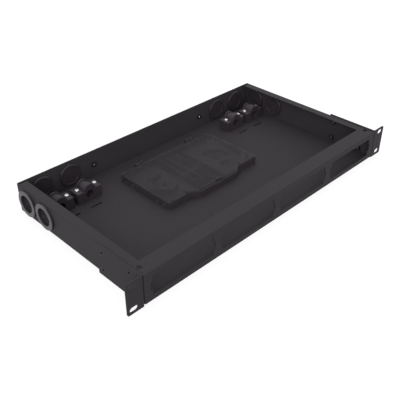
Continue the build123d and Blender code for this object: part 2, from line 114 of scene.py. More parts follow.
class Wire:
    # one output of a node, which can stand in a sum

    def __init__(self, graph, socket):
        self.graph = graph
        self.socket = socket

    def out(self, name):
        return Wire(self.graph, findSocket(self.socket.node.outputs, name))

    def maths(self, operation, *values):
        return self.graph.node("ShaderNodeMath", {"operation": operation}, dict(enumerate(values)))

    def __add__(self, other):
        return self.maths("ADD", self, other)

    def __sub__(self, other):
        return self.maths("SUBTRACT", self, other)

    def __rsub__(self, other):
        return self.maths("SUBTRACT", other, self)

    def __mul__(self, other):
        return self.maths("MULTIPLY", self, other)

    def __truediv__(self, other):
        return self.maths("DIVIDE", self, other)

    def __rtruediv__(self, other):
        return self.maths("DIVIDE", other, self)

    __radd__ = __add__
    __rmul__ = __mul__


class Graph:
    def __init__(self, tree):
        self.tree = tree
        tree.nodes.clear()

    def node(self, kind, settings=None, values=None, output=0):
        made = self.tree.nodes.new(kind)
        for name, setting in (settings or {}).items():
            if name == "stops":
                self.setStops(made.color_ramp, setting)
            else:
                setattr(made, name, setting)
        for name, value in (values or {}).items():
            socket = findSocket(made.inputs, name)
            for item in value if isinstance(value, list) else [value]:
                if isinstance(item, Wire):
                    self.tree.links.new(item.socket, socket)
                else:
                    socket.default_value = item
        if made.outputs:
            return Wire(self, findSocket(made.outputs, output))

    def setStops(self, ramp, stops):
        while len(ramp.elements) < len(stops):
            ramp.elements.new(0.5)
        for element, (place, shade) in zip(ramp.elements, stops):
            element.position = place
            element.color = (shade, shade, shade, 1)


# Finishes. A noise is given as the size of a blotch in millimetres, its detail and its stretch

class Finish(Graph):
    def __init__(self, name):
        self.material = bpy.data.materials.new(name)
        self.material.use_nodes = True
        super().__init__(self.material.node_tree)
        self.place = self.node("ShaderNodeTexCoord", output="Object")

    def noise(self, size, detail, stretch=None, rough=0.55):
        where = self.place
        if stretch:
            where = self.node("ShaderNodeMapping", {}, {"Vector": where, "Scale": stretch})
        values = {"Vector": where, "Scale": 1 / (size * mm), "Detail": detail, "Roughness": rough}
        return self.node("ShaderNodeTexNoise", {}, values)

    def ramp(self, factor, stops):
        return self.node("ShaderNodeValToRGB", {"stops": stops}, {"Fac": factor})

    def between(self, low, high, factor):
        values = {"Factor_Float": factor, "A_Color": (*low, 1), "B_Color": (*high, 1)}
        return self.node("ShaderNodeMix", {"data_type": "RGBA"}, values, "Result_Color")

    def bump(self, height, look):
        depth = look["bumpDepth"] * mm
        values = {"Strength": look["bumpStrength"], "Distance": depth, "Height": height}
        return self.node("ShaderNodeBump", {}, values)

    def surface(self, values):
        shader = self.node("ShaderNodeBsdfPrincipled", {}, values)
        self.node("ShaderNodeOutputMaterial", {}, {"Surface": shader})
        return self.material


def blend(first, second, share):
    # a share of the first pattern and the rest of the second
    return first * share + second * (1 - share)


powderCoat = {
    "dark": (0.0305, 0.0268, 0.0309),
    "light": (0.0490, 0.0438, 0.0496),
    "grain": (0.5, 1.5),
    "peel": (1.7, 2.0),
    "cloud": (70.0, 3.0),
    "grainInSpeckle": 0.55,
    "speckle": [(0.3, 0.0), (0.7, 1.0)],
    "speckleInTone": 0.75,
    "grainInHeight": 0.45,
    "rough": 0.5,
    "peelRough": 0.16,
    "cloudRough": 0.08,
    "shine": 0.06,
    "bumpDepth": 0.035,
    "bumpStrength": 0.5,
}


def makePowderCoat(name, look):
    coat = Finish(name)
    grain, peel, cloud = (coat.noise(*look[pattern]) for pattern in ("grain", "peel", "cloud"))
    speckle = coat.ramp(blend(grain, peel, look["grainInSpeckle"]), look["speckle"])
    tone = blend(speckle, cloud, look["speckleInTone"])
    rough = look["rough"] + look["peelRough"] * (peel - 0.5) + look["cloudRough"] * cloud
    return coat.surface({
        "Base Color": coat.between(look["dark"], look["light"], tone),
        "Roughness": rough,
        "Specular IOR Level": look["shine"],
        "Normal": coat.bump(blend(grain, peel, look["grainInHeight"]), look),
    })


moulding = {
    "flow": (18.0, 3.0, (1.0, 0.35, 1.0)),  # faint flow marks of the moulding
    "grainInTone": 0.5,
    "grainInHeight": 0.7,
    "flowRough": 0.14,
    "grainRough": 0.06,
    "bumpDepth": 0.012,
    "bumpStrength": 0.4,
}
mouldedLooks = {
    "trayPlastic": {
        "dark": (0.0350, 0.0298, 0.0355), "light": (0.0450, 0.0385, 0.0457),
        "rough": 0.42, "shine": 0.2, "grain": (0.35, 2.0),
    },
    "combPlastic": {
        "dark": (0.0210, 0.0178, 0.0214), "light": (0.0290, 0.0247, 0.0295),
        "rough": 0.46, "shine": 0.15, "grain": (0.4, 2.0),
    },
    "grommetPlastic": {
        "dark": (0.0255, 0.0212, 0.0260), "light": (0.0360, 0.0299, 0.0367),
        "rough": 0.25, "shine": 0.32, "grain": (0.9, 2.0), "bumpDepth": 0.010,
    },
    "clampPlastic": {
        "dark": (0.0320, 0.0265, 0.0325), "light": (0.0420, 0.0350, 0.0427),
        "rough": 0.3, "shine": 0.16, "grain": (0.6, 2.0),
    },
}


def makeMoulded(name, look):
    plastic = Finish(name)
    grain, flow = plastic.noise(*look["grain"]), plastic.noise(*look["flow"])
    tone = blend(grain, flow, look["grainInTone"])
    rough = look["rough"] + look["flowRough"] * (flow - 0.5) + look["grainRough"] * (grain - 0.5)
    return plastic.surface({
        "Base Color": plastic.between(look["dark"], look["light"], tone),
        "Roughness": rough,
        "Specular IOR Level": look["shine"],
        "Normal": plastic.bump(blend(grain, flow, look["grainInHeight"]), look),
    })


clearPlastic = {
    "tint": (0.034, 0.0291, 0.0344),
    "haze": (0.0425, 0.0364, 0.0430),
    "flow": (26.0, 3.0),
    "scratches": (0.9, 4.0, (1.0, 0.12, 1.0)),
    "scuff": [(0.55, 0.0), (0.72, 1.0)],
    "flowInTone": 0.7,
    "veil": 0.56,  # how much of what is below the gloss covers
    "flowVeil": 0.10,
    # painted sheen: extra veil where the lid is seen edge-on
    "paintedRimSheen": 0.45,
    "paintedSheenBlend": 0.22,
    "rough": 0.30,
    "flowRough": 0.06,
    "scuffRough": 0.10,
    "shine": 0.12,
    "bumpDepth": 0.02,
    "bumpStrength": 0.25,
}


def makeClear(name, look):
    # a clear moulding, where the gloss lies as a veil over what is below, once for each wall; the
    # veil thickens at glancing edges as a painted sheen
    sheet = Finish(name)
    flow = sheet.noise(*look["flow"])
    scuff = sheet.ramp(sheet.noise(*look["scratches"]), look["scuff"])
    # painted sheen: a lighter rim where the lid is seen edge-on, in place of a reflection
    rim = sheet.node("ShaderNodeLayerWeight", {}, {"Blend": look["paintedSheenBlend"]}, "Fresnel")
    inside = sheet.node("ShaderNodeNewGeometry", output="Backfacing")
    veil = look["veil"] + look["flowVeil"] * (flow - 0.5) + look["paintedRimSheen"] * rim
    tone = blend(flow, scuff, look["flowInTone"])
    return sheet.surface({
        "Base Color": sheet.between(look["tint"], look["haze"], tone),
        "Roughness": look["rough"] + look["flowRough"] * flow + look["scuffRough"] * scuff,
        "Specular IOR Level": look["shine"],
        "Alpha": veil * (1 - inside),
        "Normal": sheet.bump(flow, look),
    })


steel = {
    "spots": (0.8, 3.0),
    "turning": (0.22, 2.0),
    "spotsInTone": 0.7,
    "turningRough": 0.18,
    "metal": 1.0,
    "shine": 0.5,
    "bumpDepth": 0.006,
    "bumpStrength": 0.35,
}
steelLooks = {
    "blackSteel": {
        "dark": (0.010, 0.0095, 0.010), "light": (0.020, 0.019, 0.020),
        "rough": 0.45, "metal": 0.0, "shine": 0.15,
    },
    "zincSteel": {"dark": (0.20, 0.20, 0.21), "light": (0.34, 0.34, 0.35), "rough": 0.34},
    "brightSteel": {"dark": (0.62, 0.62, 0.64), "light": (0.86, 0.86, 0.88), "rough": 0.2},
}


def makeSteel(name, look):
    metal = Finish(name)
    spots, turning = metal.noise(*look["spots"]), metal.noise(*look["turning"])
    tone = blend(spots, turning, look["spotsInTone"])
    return metal.surface({
        "Base Color": metal.between(look["dark"], look["light"], tone),
        "Roughness": look["rough"] + look["turningRough"] * (turning - 0.5),
        "Metallic": look["metal"],
        "Specular IOR Level": look["shine"],
        "Normal": metal.bump(turning, look),
    })


finishes = {
    "powderCoat": makePowderCoat("powderCoat", powderCoat),
    "clearPlastic": makeClear("clearPlastic", clearPlastic),
}
for name, look in mouldedLooks.items():
    finishes[name] = makeMoulded(name, {**moulding, **look})
for name, look in steelLooks.items():
    finishes[name] = makeSteel(name, {**steel, **look})
print("finishes:", ", ".join(finishes))


# Studio: pale floor and soft lamps

studio = {
    "floorHalf": 6.0,
    "floorShade": 0.20,
    # painted shade: the floor's colour under the panel, made dark where its shadow falls
    "paintedUnderShade": 0.045,  # the floor below the panel
    "floorGlow": 0.84,
    "paintedShadeHalf": (0.2, 0.105),
    "paintedShadeCentre": (0.0, 0.12),
    "paintedShadeFade": 0.015,
    "ambient": 0.89,
    "lamps": [
        # name, place, size, power
        ("overhead", (0.12, 0.6, 1.6), 1.2, 4.1),
        ("leftFront", (-3.3, -2.4, 1.9), 2.6, 80.0),
    ],
    "aim": (0.0, 0.1, 0.0),
}


def seenRays(graph):
    # 1 for rays that show the background in the picture, in a mirror or through glass
    path = graph.node("ShaderNodeLightPath", output="Is Camera Ray")
    seen = path + path.out("Is Glossy Ray") + path.out("Is Transmission Ray")
    return path.maths("MINIMUM", seen, 1.0)


def makeSky(sizes):
    world = bpy.data.worlds.new("studio")
    world.use_nodes = True
    bpy.context.scene.world = world
    sky = Graph(world.node_tree)
    strength = sizes["ambient"] + (1.0 - sizes["ambient"]) * seenRays(sky)
    values = {"Color": (1, 1, 1, 1), "Strength": strength}
    background = sky.node("ShaderNodeBackground", {}, values)
    sky.node("ShaderNodeOutputWorld", {}, {"Surface": background})


def makePaper(sizes):
    # glows white in the picture but for what the panel covers, where painted shade darkens the
    # floor, and keeps the shadow
    paper = Finish("paper")
    place = paper.node("ShaderNodeSeparateXYZ", {}, {0: paper.place})
    away = 0.0  # how far a point of the floor lies outside what the panel covers
    for axis in (0, 1):
        fromCentre = place.out(axis) - sizes["paintedShadeCentre"][axis]
        beyond = place.maths("ABSOLUTE", fromCentre) - sizes["paintedShadeHalf"][axis]
        away = place.maths("MAXIMUM", beyond, away)
    # 0 over what the panel covers, where the floor is painted as shade, rising to 1 just outside
    clear = place.maths("MINIMUM", away / sizes["paintedShadeFade"], 1.0)
    paintedShade, shade, glow = ([sizes[level]] * 3 for level in ("paintedUnderShade", "floorShade", "floorGlow"))
    return paper.surface({
        "Base Color": paper.between(paintedShade, shade, clear),
        "Roughness": 1.0,
        "Specular IOR Level": 0.0,
        "Emission Color": paper.between((0, 0, 0), glow, clear * seenRays(paper)),
        "Emission Strength": 1.0,
    })


def makeStudio(sizes):
    makeSky(sizes)
    mesh = bpy.data.meshes.new("floor")
    with editing(mesh) as bm:
        bmesh.ops.create_grid(bm, x_segments=1, y_segments=1, size=sizes["floorHalf"])
        bmesh.ops.translate(bm, vec=(0, 0, cadLow.z), verts=bm.verts)
    floor = addObject("floor", mesh)
    mesh.materials.append(makePaper(sizes))

    for name, place, size, power in sizes["lamps"]:
        lamp = bpy.data.lights.new(name, "AREA")
        lamp.size = size
        lamp.energy = power
        holder = addObject(name, lamp)
        holder.location = place
        towards = Vector(sizes["aim"]) - holder.location
        holder.rotation_euler = towards.to_track_quat("-Z", "Y").to_euler()
    bpy.context.scene.view_settings.view_transform = "Standard"


makeStudio(studio)
print("studio lit")


# Pieces that keep the CAD shape and get rounded edges

bodies = frame["record"]["behaviour"]["bodies"]
bodyOf = {node: body for body, nodes in bodies.items() for node in nodes}

meshing = {
    "weld": 0.002,  # corners closer than this are one
    "flatWithin": 0.5,  # the angle between the faces of one flat
    "edgeAbove": 38.0,  # edges sharper than this are rounded
    "blendBelow": 50.0,  # faces that meet at less are shaded as one
    "roundingSteps": 2,
    "plainSides": 4,  # a flat whose faces have no more sides is left as it is
    "fillNear": 0.0001,
    "closePasses": 2,
    "pinholeSides": 8,
}


def nodesNamed(*starts):
    return sorted(node for node in frame["nodes"] if node.startswith(starts))


def freshMesh(source, name):
    # what the modifiers make of an object, as a plain mesh
    bpy.context.view_layer.update()
    graph = bpy.context.evaluated_depsgraph_get()
    mesh = bpy.data.meshes.new_from_object(source.evaluated_get(graph))
    mesh.name = name
    return mesh


def settle(piece):
    # the piece keeps what its modifiers make
    mesh = freshMesh(piece, piece.name)
    piece.modifiers.clear()
    piece.data = mesh


def mergeCorners(bm, sizes=meshing):
    bmesh.ops.remove_doubles(bm, verts=bm.verts, dist=sizes["weld"] * mm)


def markEdges(mesh, sizes=meshing):
    # makes whole flat faces and marks their true outer edges for rounding
    with editing(mesh) as bm:
        mergeCorners(bm)
        flat, sharp = math.radians(sizes["flatWithin"]), math.radians(sizes["edgeAbove"])
        bmesh.ops.dissolve_limit(bm, angle_limit=flat, verts=bm.verts, edges=bm.edges)
        marks = bm.edges.layers.float.new("bevel_weight_edge")
        for edge in bm.edges:
            if edge.is_manifold and edge.is_convex and edge.calc_face_angle() > sharp:
                edge[marks] = 1.0


def roundEdges(piece, radius, sizes=meshing):
    bevel = piece.modifiers.new("rounding", "BEVEL")
    bevel.width = radius * mm
    bevel.segments = sizes["roundingSteps"]
    bevel.limit_method = "WEIGHT"
    bevel.loop_slide = False
    bevel.use_clamp_overlap = False
    bevel.miter_outer = "MITER_ARC"
    settle(piece)


def gather(items, neighbours):
    # groups of items that reach one another, each in the order in which they are found
    groups, seen = [], set()
    for first in items:
        if first in seen:
            continue
        group, waiting = {first: True}, [first]
        while waiting:
            for item in neighbours(waiting.pop()):
                if item not in group:
                    group[item] = True
                    waiting.append(item)
        seen.update(group)
        groups.append(group)
    return groups


def flatPatches(bm, limit):
    # groups of faces that join in one plane, folded over or not
    def beside(face):
        for edge in face.edges:
            angle = edge.calc_face_angle(math.pi / 2)
            if min(angle, math.pi - angle) < limit:
                yield from edge.link_faces

    return gather(bm.faces, beside)


def insideRim(point, lines):
    crossings = 0
    for a, b in lines:
        if (a.y > point.y) != (b.y > point.y):
            crossings += point.x < a.x + (b.x - a.x) * (point.y - a.y) / (b.y - a.y)
    return crossings % 2 == 1


def fillRim(bm, rim, facing, near):
    # triangles inside the rim of a flat and outside its holes
    corners = list(dict.fromkeys(vert for edge in rim for vert in edge.verts))
    number = {vert: i for i, vert in enumerate(corners)}
    turn = facing.rotation_difference(Vector((0, 0, 1)))
    points = [(turn @ vert.co / mm).to_2d() for vert in corners]
    lines = [[number[vert] for vert in edge.verts] for edge in rim]
    placed, _, triangles, origins = delaunay_2d_cdt(points, lines, [], 0, near)[:4]
    ends = [(points[i], points[j]) for i, j in lines]
    for triangle in triangles:
        middle = sum((placed[i] for i in triangle), Vector((0, 0))) / 3
        found = [origins[i] for i in triangle]
        if all(found) and insideRim(middle, ends):
            verts = [corners[origin[0]] for origin in found]
            if len(set(verts)) == 3 and not bm.faces.get(verts):
                bm.faces.new(verts)


def refillFlats(mesh, sizes=meshing):
    # a flat with holes gets new triangles once its edges are rounded
    flat = math.radians(sizes["flatWithin"])
    with editing(mesh) as bm:
        bmesh.ops.dissolve_degenerate(bm, dist=sizes["weld"] * mm, edges=bm.edges)
        for patch in flatPatches(bm, flat):
            edges = dict.fromkeys(edge for face in patch for edge in face.edges)
            folded = max(edge.calc_face_angle(0.0) for edge in edges) > math.pi - flat
            plain = max(len(face.verts) for face in patch) <= sizes["plainSides"]
            if plain and not folded:
                continue
            facing = sum((face.normal * face.calc_area() for face in patch), Vector())
            rim = [edge for edge in edges if sum(face in patch for face in edge.link_faces) == 1]
            bmesh.ops.delete(bm, geom=list(patch), context="FACES")
            fillRim(bm, [edge for edge in rim if edge.is_valid], facing, sizes["fillNear"])
        bm.normal_update()


def splitAt(edge, corners, near):
    # splits an edge wherever one of the corners lies along it
    start, end = edge.verts
    line = end.co - start.co
    reaches = []
    for vert in corners - {start, end}:
        offLine = (intersect_point_line(vert.co, start.co, end.co)[0] - vert.co).length
        reach = (vert.co - start.co).dot(line) / line.length_squared
        if offLine < near and near < reach * line.length < line.length - near:
            reaches.append(reach)
    whole = 1.0
    for reach in sorted(reaches, reverse=True):
        made = bmesh.utils.edge_split(edge, start, reach / whole)[1]
        edge = next(part for part in made.link_edges if start in part.verts)
        whole = reach


def closeSeams(mesh, sizes=meshing):
    # corners along a neighbour's edge split it, then flaps go and pinholes at corners are filled
    near = sizes["weld"] * mm
    with editing(mesh) as bm:
        for _ in range(sizes["closePasses"]):
            rims = [edge for edge in bm.edges if not edge.is_manifold]
            corners = {vert for edge in rims for vert in edge.verts}
            for edge in rims:
                splitAt(edge, corners, near)
            mergeCorners(bm)
            bmesh.ops.dissolve_degenerate(bm, dist=near, edges=bm.edges)
        crowded = (edge.link_faces for edge in bm.edges if len(edge.link_faces) > 2)
        faces = dict.fromkeys(face for group in crowded for face in group)
        flaps = [face for face in faces if any(edge.is_boundary for edge in face.edges)]
        bmesh.ops.delete(bm, geom=flaps, context="FACES")
        gaps = [edge for edge in bm.edges if edge.is_boundary]
        bmesh.ops.holes_fill(bm, edges=gaps, sides=sizes["pinholeSides"])
        loose = [edge for edge in bm.edges if edge.is_wire]
        bmesh.ops.delete(bm, geom=loose, context="EDGES")
        bm.normal_update()


def smoothOver(mesh, sizes=meshing):
    # a corner's normal leans to the largest flat there, so flats stay flat and rounds are smooth
    bm = bmesh.new()
    bm.from_mesh(mesh)
    area = {}
    for patch in flatPatches(bm, math.radians(sizes["flatWithin"])):
        area.update(dict.fromkeys(patch, sum(face.calc_area() for face in patch)))
    near = math.cos(math.radians(sizes["blendBelow"]))
    normals = []
    for face in bm.faces:
        for loop in face.loops:
            meeting = loop.vert.link_faces
            around = (other for other in meeting if other.normal.dot(face.normal) > near)
            leaning = sum((other.normal * area[other] for other in around), Vector())
            normals.append(leaning.normalized())
    bm.free()
    mesh.polygons.foreach_set("use_smooth", [True] * len(mesh.polygons))
    mesh.normals_split_custom_set(normals)


def standFor(piece, nodes):
    # shading and body of a piece that stands for these CAD nodes, which are hidden
    smoothOver(piece.data)
    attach(piece, bodyOf[nodes[0]])
    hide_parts(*nodes)


def cadPiece(name, nodes, finish, rounding):
    solids = []
    for node in nodes:
        mesh = frame["nodes"][node].data.copy()
        with editing(mesh) as bm:
            mergeCorners(bm)
        solids.append(addObject(node + "Solid", mesh))
    for other in solids[1:]:
        join = solids[0].modifiers.new("join", "BOOLEAN")
        join.operation = "UNION"
        join.solver = "EXACT"
        join.object = other
    mesh = freshMesh(solids[0], name)
    for solid in solids:
        bpy.data.objects.remove(solid)
    markEdges(mesh)
    piece = addObject(name, mesh)
    roundEdges(piece, rounding)
    mesh = piece.data
    refillFlats(mesh)
    closeSeams(mesh)
    mesh.materials.clear()
    mesh.materials.append(finishes[finish])
    mesh.polygons.foreach_set("material_index", [0] * len(mesh.polygons))
    standFor(piece, nodes)


sheetMetal = {"chassisRounding": 0.3, "earRounding": 0.35}

cadPiece("chassis", nodesNamed("chassis_"), "powderCoat", sheetMetal["chassisRounding"])
cadPiece("rackEarLeft", ["rack_ear_left"], "powderCoat", sheetMetal["earRounding"])
cadPiece("rackEarRight", ["rack_ear_right"], "powderCoat", sheetMetal["earRounding"])

moulded = {"trayRounding": 0.25, "lidRounding": 0.2, "clampRounding": 0.25}

trayParts = "tray_floor", "tray_wall", "tray_guide", "tray_corner", "tray_posts", "tray_rear"
cadPiece("spliceTray", nodesNamed(*trayParts), "trayPlastic", moulded["trayRounding"])
cadPiece("trayLid", ["tray_lid"], "clearPlastic", moulded["lidRounding"])
for letter in "abcd":
    base, saddle = "clamp_base_" + letter, "clamp_saddle_" + letter
    cadPiece("clampBase_" + letter, [base], "clampPlastic", moulded["clampRounding"])
    cadPiece("clampSaddle_" + letter, [saddle], "clampPlastic", moulded["clampRounding"])
print("mouldings made")


# Turned and repeated pieces, made by Geometry Nodes

class Shape(Graph):
    # a tree of geometry nodes with named inputs

    def __init__(self, name, inputs):
        super().__init__(bpy.data.node_groups.new(name, "GeometryNodeTree"))
        face = self.tree.interface
        self.sockets = {}
        for label, kind in inputs.items():
            made = face.new_socket(label, in_out="INPUT", socket_type="NodeSocket" + kind)
            self.sockets[label] = made.identifier
        face.new_socket("Geometry", in_out="OUTPUT", socket_type="NodeSocketGeometry")
        self.given = self.node("NodeGroupInput").out

    def attribute(self, name, kind="FLOAT"):
        settings = {"data_type": kind}
        return self.node("GeometryNodeInputNamedAttribute", settings, {"Name": name}, "Attribute")

    def placeAt(self, points, piece, rotation=None):
        values = {"Points": points, "Instance": piece}
        if rotation:
            values["Rotation"] = rotation
        return self.node("GeometryNodeInstanceOnPoints", {}, values)

    def dress(self, geometry, finish, where=True):
        values = {"Geometry": geometry, "Selection": where, "Material": self.given(finish)}
        return self.node("GeometryNodeSetMaterial", {}, values)

    def apply(self, piece, values):
        shaping = piece.modifiers.new(self.tree.name, "NODES")
        shaping.node_group = self.tree
        for label, value in values.items():
            shaping[self.sockets[label]] = value
        settle(piece)
        mesh = piece.data
        if mesh.materials[0] is None:  # the slot of the bare places
            indices = [face.material_index - 1 for face in mesh.polygons]
            mesh.materials.pop(index=0)
            mesh.polygons.foreach_set("material_index", indices)


turning = {
    "merge": 0.0005,  # closes the seam and the poles
    "corner": 30.0,  # half a side of a hexagon socket, seen from its middle
    "plain": {"pitch": 1.0, "threadDepth": 0.0, "turn": 0.0, "seed": 0, "extra": None},
}


def makeTurnedTree(sizes):
    # turns a profile into a solid and sets one at each place, along the place's axis
    tree = Shape("turnedPieces", {
        "Places": "Geometry", "Profile": "Object", "Extra": "Object", "Sides": "Int",
        "Pitch": "Float", "Thread Depth": "Float", "Turn": "Float", "Seed": "Int",
        "Finish": "Material", "Bare Finish": "Material",
    })
    given = tree.given

    def geometryOf(label):
        settings = {"transform_space": "ORIGINAL"}
        return tree.node("GeometryNodeObjectInfo", settings, {"Object": given(label)}, "Geometry")

    profile, extra = geometryOf("Profile"), geometryOf("Extra")
    ringCount = tree.node(
        "GeometryNodeAttributeDomainSize", {}, {"Geometry": profile}, "Point Count")
    grid = tree.node("GeometryNodeMeshGrid", {}, {
        "Size X": 1.0, "Size Y": 1.0, "Vertices X": given("Sides") + 1, "Vertices Y": ringCount})
    spread = tree.node("ShaderNodeSeparateXYZ", {}, {0: tree.node("GeometryNodeInputPosition")})
    angle = (spread.out("X") + 0.5) * math.tau
    ring = spread.maths("ROUND", (spread.out("Y") + 0.5) * (ringCount - 1))

    def atRing(value, kind="FLOAT"):
        settings = {"data_type": kind, "domain": "POINT"}
        values = {"Geometry": profile, "Value": value, "Index": ring}
        return tree.node("GeometryNodeSampleIndex", settings, values)

    place = atRing(tree.node("GeometryNodeInputPosition"), "FLOAT_VECTOR")
    spot = tree.node("ShaderNodeSeparateXYZ", {}, {0: place})
    corner = math.radians(sizes["corner"])
    fromFlat = angle.maths("FLOORED_MODULO", angle, 2 * corner) - corner
    hexagon = math.cos(corner) / angle.maths("COSINE", fromFlat) - 1.0
    climb = spot.out("Z") / given("Pitch") - angle / math.tau
    groove = angle.maths("PINGPONG", climb, 0.5) * 2.0
    radius = spot.out("X") * (atRing(tree.attribute("socket")) * hexagon + 1.0)
    radius = radius - atRing(tree.attribute("thread")) * given("Thread Depth") * groove
    marked = tree.node(
        "GeometryNodeStoreNamedAttribute", {"data_type": "BOOLEAN", "domain": "POINT"},
        {"Geometry": grid, "Name": "bare", "Value": atRing(tree.attribute("bare"))})
    onCircle = tree.node("ShaderNodeCombineXYZ", {}, {
        "X": radius * angle.maths("COSINE", angle),
        "Y": radius * angle.maths("SINE", angle),
        "Z": spot.out("Z"),
    })
    turned = tree.node("GeometryNodeSetPosition", {}, {"Geometry": marked, "Position": onCircle})
    closed = tree.node("GeometryNodeMergeByDistance", {}, {
        "Geometry": turned, "Distance": sizes["merge"] * mm})
    outside = tree.node("GeometryNodeFlipFaces", {}, {"Mesh": closed})
    whole = tree.node("GeometryNodeJoinGeometry", {}, {"Geometry": [outside, extra]})

    along = tree.node("FunctionNodeAlignRotationToVector", {"axis": "Z"}, {
        "Vector": tree.attribute("axis", "FLOAT_VECTOR")})
    upright = tree.node(
        "FunctionNodeAlignRotationToVector", {"axis": "Y", "pivot_axis": "Z"},
        {"Rotation": along, "Vector": (0, 0, 1)})
    chance = tree.node("FunctionNodeRandomValue", {"data_type": "FLOAT"}, {
        "Min_001": 0.0, "Max_001": given("Turn"), "Seed": given("Seed")}, "Value_001")
    roll = tree.node("FunctionNodeAxisAngleToRotation", {}, {"Axis": (0, 0, 1), "Angle": chance})
    facing = tree.node("FunctionNodeRotateRotation", {"rotation_space": "LOCAL"}, {
        "Rotation": upright, "Rotate By": roll})
    placed = tree.placeAt(given("Places"), whole, facing)
    solid = tree.node("GeometryNodeRealizeInstances", {}, {"Geometry": placed})
    bare = tree.attribute("bare", "BOOLEAN")
    dressed = tree.dress(tree.dress(solid, "Finish"), "Bare Finish", bare)
    tree.node("NodeGroupOutput", {}, {0: dressed})
    return tree


turnedTree = makeTurnedTree(turning)


def joined(vert):
    for edge in vert.link_edges:
        yield from edge.verts


def islands(node):
    # boxes round the separate solids of a CAD node
    bm = bmesh.new()
    bm.from_mesh(frame["nodes"][node].data)
    mergeCorners(bm)
    boxes = []
    for solid in gather(bm.verts, joined):
        low = Vector([min(vert.co[i] for vert in solid) for i in range(3)])
        high = Vector([max(vert.co[i] for vert in solid) for i in range(3)])
        boxes.append((low, high))
    bm.free()
    return boxes


def placesOn(name, nodes, axisAt, above):
    # a point on the seat of each solid, where above is how far the solid stands over its seat
    seats, axes = [], []
    for node in nodes:
        for low, high in islands(node):
            axis = Vector(axisAt(low, high) if callable(axisAt) else axisAt)
            reach = abs((high - low).dot(axis)) / 2
            seats.append((low + high) / 2 + axis * (reach - above * mm))
            axes.extend(axis)
    mesh = bpy.data.meshes.new(name)
    mesh.from_pydata(seats, [], [])
    mesh.attributes.new("axis", "FLOAT_VECTOR", "POINT").data.foreach_set("vector", axes)
    return addObject(name, mesh)


def bend(radius, height, size, start, end, steps=4):
    # part of a circle in the profile, in degrees from straight out
    angles = [math.radians(start + (end - start) * i / steps) for i in range(steps + 1)]
    return [(radius + size * math.cos(a), height + size * math.sin(a)) for a in angles]


def shoulder(radius, top, rim, steps=4):
    # the rounded edge from the top of a head to its side
    return bend(radius - rim, top - rim, rim, 90, 0, steps)


def rings(points, thread=0.0, socket=0.0, bare=0.0):
    return [(radius, height, thread, socket, bare) for radius, height in points]


def makeTurned(name, nodes, profile, axisAt, above, look):
    look = {**turning["plain"], "bareFinish": look["finish"], **look}
    piece = placesOn(name, nodes, axisAt, above)
    mesh = bpy.data.meshes.new(name + "Profile")
    mesh.from_pydata([(ring[0] * mm, 0, ring[1] * mm) for ring in profile], [], [])
    for place, label in enumerate(("thread", "socket", "bare"), 2):
        values = [ring[place] for ring in profile]
        mesh.attributes.new(label, "FLOAT", "POINT").data.foreach_set("value", values)
    helper = addObject(name + "Profile", mesh)
    turnedTree.apply(piece, {
        "Profile": helper,
        "Extra": look["extra"],
        "Sides": look["sides"],
        "Pitch": look["pitch"] * mm,
        "Thread Depth": look["threadDepth"] * mm,
        "Turn": math.radians(look["turn"]),
        "Seed": look["seed"],
        "Finish": finishes[look["finish"]],
        "Bare Finish": finishes[look["bareFinish"]],
    })
    bpy.data.objects.remove(helper)
    piece.data.attributes.remove(piece.data.attributes["bare"])
    standFor(piece, nodes)


screw = {
    "sides": 24,
    "turn": 60,
    "sink": 0.0,  # depth of a countersunk head
    "socketCone": 0.3,
    "socketEdge": (0.1, 0.08),
    "stepsOfPitch": 6,
    "threadFrom": 0.3,  # from the head
    "threadEnd": 0.4,  # from the tip
    "tipTaper": 0.35,
}
earScrew = {
    **screw, "finish": "blackSteel", "bareFinish": "brightSteel", "seed": 3, "sink": 1.7,
    "headRadius": 3.7, "headHeight": 0.0, "headRound": 0.12, "shankRadius": 2.0, "length": 7.0,
    "pitch": 0.7, "threadDepth": 0.36, "socketRadius": 1.7, "socketDepth": 1.0,
}
rearScrew = {
    **earScrew, "seed": 5, "sink": 0.0, "headRadius": 3.5, "headHeight": 1.8, "headRound": 0.8,
    "length": 4.7, "socketDepth": 0.8,
}
clampScrew = {
    **screw, "finish": "brightSteel", "seed": 7,
    "headRadius": 2.9, "headHeight": 2.0, "headRound": 0.9, "shankRadius": 1.5, "length": 11.5,
    "pitch": 0.5, "threadDepth": 0.27, "socketRadius": 1.3, "socketDepth": 0.9,
}
floorScrew = {
    **clampScrew, "finish": "zincSteel", "seed": 9, "sink": 1.4, "headHeight": 0.0,
    "headRound": 0.1, "length": 7.5, "socketRadius": 1.2, "socketDepth": 0.7,
}
trayScrew = {**clampScrew, "finish": "blackSteel", "seed": 11, "length": 3.1}


def screwProfile(look):
    # from the middle of the socket over the head and down the thread to the tip
    top, head, shank = look["headHeight"], look["headRadius"], look["shankRadius"]
    socket, deep, (edge, edgeDeep) = look["socketRadius"], look["socketDepth"], look["socketEdge"]
    sink, length = look["sink"], look["length"]
    profile = rings([(0, top - deep - look["socketCone"])])
    profile += rings(
        [(socket, top - deep), (socket, top - edgeDeep), (socket + edge, top)], socket=1.0)
    profile += rings(shoulder(head, top, look["headRound"]))
    profile += rings([(shank, -sink)] if sink else [(head, 0), (shank, 0)])
    start, end = sink + look["threadFrom"], length - look["threadEnd"]
    steps = round((end - start) / (look["pitch"] / look["stepsOfPitch"]))
    thread = [(shank, -start - (end - start) * i / steps) for i in range(steps + 1)]
    profile += rings(thread, thread=1.0, bare=1.0)
    profile += rings([(shank - look["tipTaper"], -length), (0, -length)], bare=1.0)
    return profile


def sideways(low, high):
    return math.copysign(1, low.x + high.x), 0, 0


def inwards(low, high):
    return -math.copysign(1, low.x + high.x), 0, 0


def makeScrews(name, nodes, axisAt, look):
    makeTurned(name, nodes, screwProfile(look), axisAt, look["headHeight"], look)


